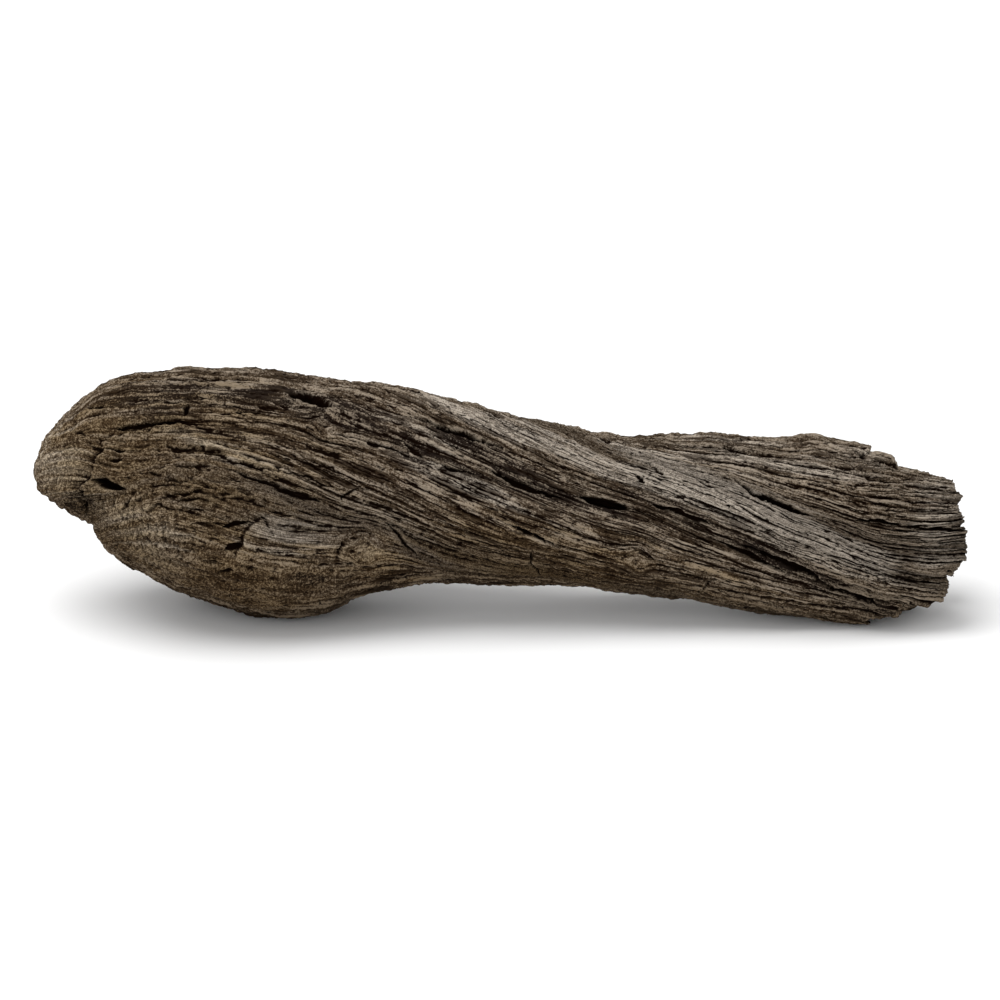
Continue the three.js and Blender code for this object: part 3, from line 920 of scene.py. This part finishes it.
# Material: bare wood, greyed and lit with painted highlight on its crests, nearly black with painted
# shade in its cracks, and darker with painted shade where it faces the ground
woodLookWithPaintedLight = {
    # Painted shade: the near-black of hollows and cracks
    "crevice": (0.0045, 0.0015, 0.0003),
    "deepWood": (0.0215, 0.0125, 0.0062),
    "wood": (0.077, 0.0535, 0.0335),
    # Painted highlight on crests, partly the grey of weathered wood; also the lightest grain
    "crest": (0.268, 0.218, 0.165),
    # Pale patches: partly bleached wood, partly painted highlight
    "pale": (0.50, 0.44, 0.37),
    # Dark patches: partly dark marks, partly painted shade
    "dark": (0.0120, 0.0080, 0.0062),
    "oliveTint": (0.885, 0.80, 0.63),  # multiplies the wood's own colour
    "paintedUndersideShadeTint": (0.60, 0.56, 0.50),    # likewise, as painted shade where the wood faces the ground
    "roughness": (0.78, 0.97),
    "specular": 0.03,
    "fineBump": 0.7,
    # How fine the grain is: per millimetre two ways across the fibres, then along them
    "hair": (1.9, 1.9, 0.06),
    "strand": (0.6, 0.6, 0.035),
    "check": (1.2, 1.2, 0.05),
    # The same per metre, for what doesn't follow the fibres
    "felt": 800.0,
    "clump": 260.0,
    "speck": 1300.0,
    "cloud": 38.0,
    # How strongly each shows in the colour
    "hairShare": 3.6,
    "streakShare": 0.35,
    "strandShare": 0.7,
    "speckShare": 2.4,
}


def colour(rgb):
    return (*rgb, 1)


class Graph:  # short calls for placing and joining shader nodes
    def __init__(self, tree):
        self.tree = tree

    def node(self, kind, **values):
        made = self.tree.nodes.new(kind)
        for key, value in values.items():
            setattr(made, key, value)
        return made

    def link(self, source, target):
        self.tree.links.new(source, target)

    def fill(self, socket, value):
        if isinstance(value, bpy.types.NodeSocket):
            self.link(value, socket)
        else:
            socket.default_value = value

    def math(self, operation, a, b=0.0):
        made = self.node("ShaderNodeMath", operation=operation)
        self.fill(made.inputs[0], a)
        self.fill(made.inputs[1], b)
        return made.outputs[0]

    def mix(self, share, a, b, blend="MIX"):  # two colours
        made = self.node("ShaderNodeMix", data_type="RGBA", blend_type=blend)
        return self.join(made, share, a, b, 6, 2)

    def blend(self, share, a, b):  # two plain values
        return self.join(self.node("ShaderNodeMix", data_type="FLOAT"), share, a, b, 2, 0)

    def join(self, made, share, a, b, firstInput, output):
        self.fill(made.inputs["Factor"], share)
        self.fill(made.inputs[firstInput], a)
        self.fill(made.inputs[firstInput + 1], b)
        return made.outputs[output]

    def remap(self, value, low, high, to=(0.0, 1.0)):
        made = self.node("ShaderNodeMapRange", interpolation_type="SMOOTHSTEP")
        self.fill(made.inputs["Value"], value)
        for name, number in zip(("From Min", "From Max", "To Min", "To Max"), (low, high, *to)):
            made.inputs[name].default_value = number
        return made.outputs["Result"]

    def attribute(self, name):
        return self.node("ShaderNodeAttribute", attribute_type="GEOMETRY", attribute_name=name)

    def split(self, vector):
        made = self.node("ShaderNodeSeparateXYZ")
        self.link(vector, made.inputs[0])
        return made.outputs

    def stretch(self, vector, scale):
        made = self.node("ShaderNodeMapping", vector_type="POINT")
        self.link(vector, made.inputs["Vector"])
        made.inputs["Scale"].default_value = scale
        return made.outputs["Vector"]

    def noise(self, vector, scale, detail=3.0, rough=0.55):
        made = self.node("ShaderNodeTexNoise")
        self.link(vector, made.inputs["Vector"])
        for name, number in (("Scale", scale), ("Detail", detail), ("Roughness", rough)):
            made.inputs[name].default_value = number
        return made.outputs["Fac"]


def fineGrain(g, mattedPart, place):  # single fibres, strands, fine splits and specks
    grain = g.attribute("grain").outputs["Vector"]
    hair = g.noise(g.stretch(grain, woodLookWithPaintedLight["hair"]), 1.0, 3.0, 0.65)
    felt = g.noise(place, woodLookWithPaintedLight["felt"], 3.0, 0.7)
    hair = g.blend(g.math("MULTIPLY", mattedPart, 0.85), hair, felt)
    strand = g.noise(g.stretch(grain, woodLookWithPaintedLight["strand"]), 1.0, 2.0)
    strand = g.blend(mattedPart, strand, g.noise(place, woodLookWithPaintedLight["clump"], 2.0))
    check = g.noise(g.stretch(grain, woodLookWithPaintedLight["check"]), 1.0, 2.0, 0.6)
    check = g.math("ABSOLUTE", g.math("SUBTRACT", check, 0.5))
    check = g.math("ADD", check, g.math("MULTIPLY", mattedPart, 0.03))
    speck = g.noise(place, woodLookWithPaintedLight["speck"], 2.0, 0.7)
    return hair, strand, check, speck


def woodColour(g, light, hair, check, cloud):
    crevicePart, crestPart = g.split(g.attribute("painted_shade_highlight_and_streak").outputs["Vector"])[:2]
    olivePart, palePart, darkPart = g.split(g.attribute("tone").outputs["Vector"])
    paintedUndersideShadePart = g.attribute("painted_underside_shade").outputs["Fac"]
    base = g.mix(g.remap(light, 0.1, 0.65), colour(woodLookWithPaintedLight["deepWood"]), colour(woodLookWithPaintedLight["wood"]))
    base = g.mix(g.remap(light, 0.5, 1.1), base, colour(woodLookWithPaintedLight["crest"]))
    # Crests get painted highlight, partly weathered grey; pale patches are partly painted highlight;
    # dark patches are partly painted shade
    for part, low, high, to, tone in (
            (crestPart, 0.3, 0.9, (0.12, 0.9), "crest"),
            (palePart, 0.35, 0.85, (0.25, 0.85), "pale"),
            (darkPart, 0.3, 0.95, (0.97, 0.2), "dark")):
        share = g.math("MULTIPLY", part, g.remap(light, low, high, to))
        base = g.mix(share, base, colour(woodLookWithPaintedLight[tone]))
    # Painted shade: hollows, cracks and fine splits darkened nearly to black, along with the dark gaps
    # between fibres
    hollow = g.math("ADD", crevicePart, g.math("MULTIPLY", g.math("SUBTRACT", 0.5, hair), 0.6))
    hollow = g.math("ADD", hollow, g.remap(check, 0.03, 0.0, (0.0, 0.6)))
    base = g.mix(g.remap(hollow, 0.05, 0.95), base, colour(woodLookWithPaintedLight["crevice"]))
    olive = g.math("MULTIPLY", olivePart, g.remap(cloud, 0.3, 0.6, (0.6, 1.0)))
    base = g.mix(olive, base, colour(woodLookWithPaintedLight["oliveTint"]), "MULTIPLY")
    # Painted shade: darker where the wood faces the ground
    return g.mix(paintedUndersideShadePart, base, colour(woodLookWithPaintedLight["paintedUndersideShadeTint"]), "MULTIPLY")


def weatheredWood():
    material = bpy.data.materials.new("weathered_wood")
    material.use_nodes = True
    g = Graph(material.node_tree)
    shader = material.node_tree.nodes["Principled BSDF"]
    streakPart = g.split(g.attribute("painted_shade_highlight_and_streak").outputs["Vector"])[2]
    mattedPart = g.attribute("matted").outputs["Fac"]
    place = g.node("ShaderNodeTexCoord").outputs["Object"]
    hair, strand, check, speck = fineGrain(g, mattedPart, place)
    cloud = g.noise(place, woodLookWithPaintedLight["cloud"], 3.0)

    light = 0.5
    for part, name in ((hair, "hair"), (streakPart, "streak"), (strand, "strand"), (speck, "speck")):
        share = woodLookWithPaintedLight[name + "Share"]
        light = g.math("ADD", light, g.math("MULTIPLY", g.math("SUBTRACT", part, 0.5), share))
    g.link(woodColour(g, light, hair, check, cloud), shader.inputs["Base Color"])
    low, high = woodLookWithPaintedLight["roughness"]
    g.link(g.remap(light, 0.3, 0.9, (high, low)), shader.inputs["Roughness"])
    shader.inputs["Specular IOR Level"].default_value = woodLookWithPaintedLight["specular"]

    bump = g.node("ShaderNodeBump")
    bump.inputs["Strength"].default_value = woodLookWithPaintedLight["fineBump"]
    bump.inputs["Distance"].default_value = 0.5 * metre
    height = g.math("ADD", hair, g.math("MULTIPLY", speck, 0.5))
    height = g.math("SUBTRACT", height, g.remap(check, 0.04, 0.0, (0.0, 0.4)))
    g.link(height, bump.inputs["Height"])
    g.link(bump.outputs["Normal"], shader.inputs["Normal"])
    return material


wood.data.materials.append(weatheredWood())
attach(wood, "root")
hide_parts("driftwood")
print("material: done")


# Studio: a pale floor, soft light from above and a long lens at the wood's front
studio = {
    "floorColour": (0.9, 0.9, 0.9),
    "floorSize": 12,      # half its width
    "world": 0.7,         # strength of the light from all round
    "suns": [  # name, where it shines from, strength, how soft in degrees
        ("topLight", (-0.35, -0.1, 1), 1.9, 45),
        ("frontLight", (-0.5, -1, 0.5), 0.8, 50),
    ],
    "lens": 320,
    "distance": 4.0,
    "aimHeight": 0.0526,  # of the point that the camera looks at
}


def plainSurface(name, rgb):
    material = bpy.data.materials.new(name)
    material.use_nodes = True
    shader = material.node_tree.nodes["Principled BSDF"]
    shader.inputs["Base Color"].default_value = colour(rgb)
    shader.inputs["Roughness"].default_value = 0.9
    return material


def buildFloor():
    mesh = bpy.data.meshes.new("floor")
    size = studio["floorSize"]
    corners = [(-size, -size, 0), (size, -size, 0), (size, size, 0), (-size, size, 0)]
    mesh.from_pydata(corners, [], [(0, 1, 2, 3)])
    floor = addToScene("floor", mesh)
    floor.data.materials.append(plainSurface("floorPaper", studio["floorColour"]))


def aim(thing, target):
    thing.rotation_euler = (Vector(target) - thing.location).to_track_quat("-Z", "Y").to_euler()


def buildLights():
    for name, place, strength, softness in studio["suns"]:
        lamp = bpy.data.lights.new(name, "SUN")
        lamp.energy = strength
        lamp.angle = math.radians(softness)
        holder = addToScene(name, lamp)
        holder.location = place
        aim(holder, (0, 0, 0))
    world = bpy.data.worlds.new("studioAir")
    world.use_nodes = True
    air = world.node_tree.nodes["Background"]
    air.inputs["Color"].default_value = (1, 1, 1, 1)
    air.inputs["Strength"].default_value = studio["world"]
    bpy.context.scene.world = world


def buildCamera():
    data = bpy.data.cameras.new("camera")
    data.lens = studio["lens"]
    data.clip_end = 50
    camera = addToScene("camera", data)
    middle = Vector((0, 0, studio["aimHeight"]))
    camera.location = middle + Vector(lookAt) * studio["distance"]
    aim(camera, middle)
    bpy.context.scene.camera = camera


buildFloor()
buildLights()
buildCamera()
bpy.context.scene.view_settings.view_transform = "Standard"
print("studio: done")
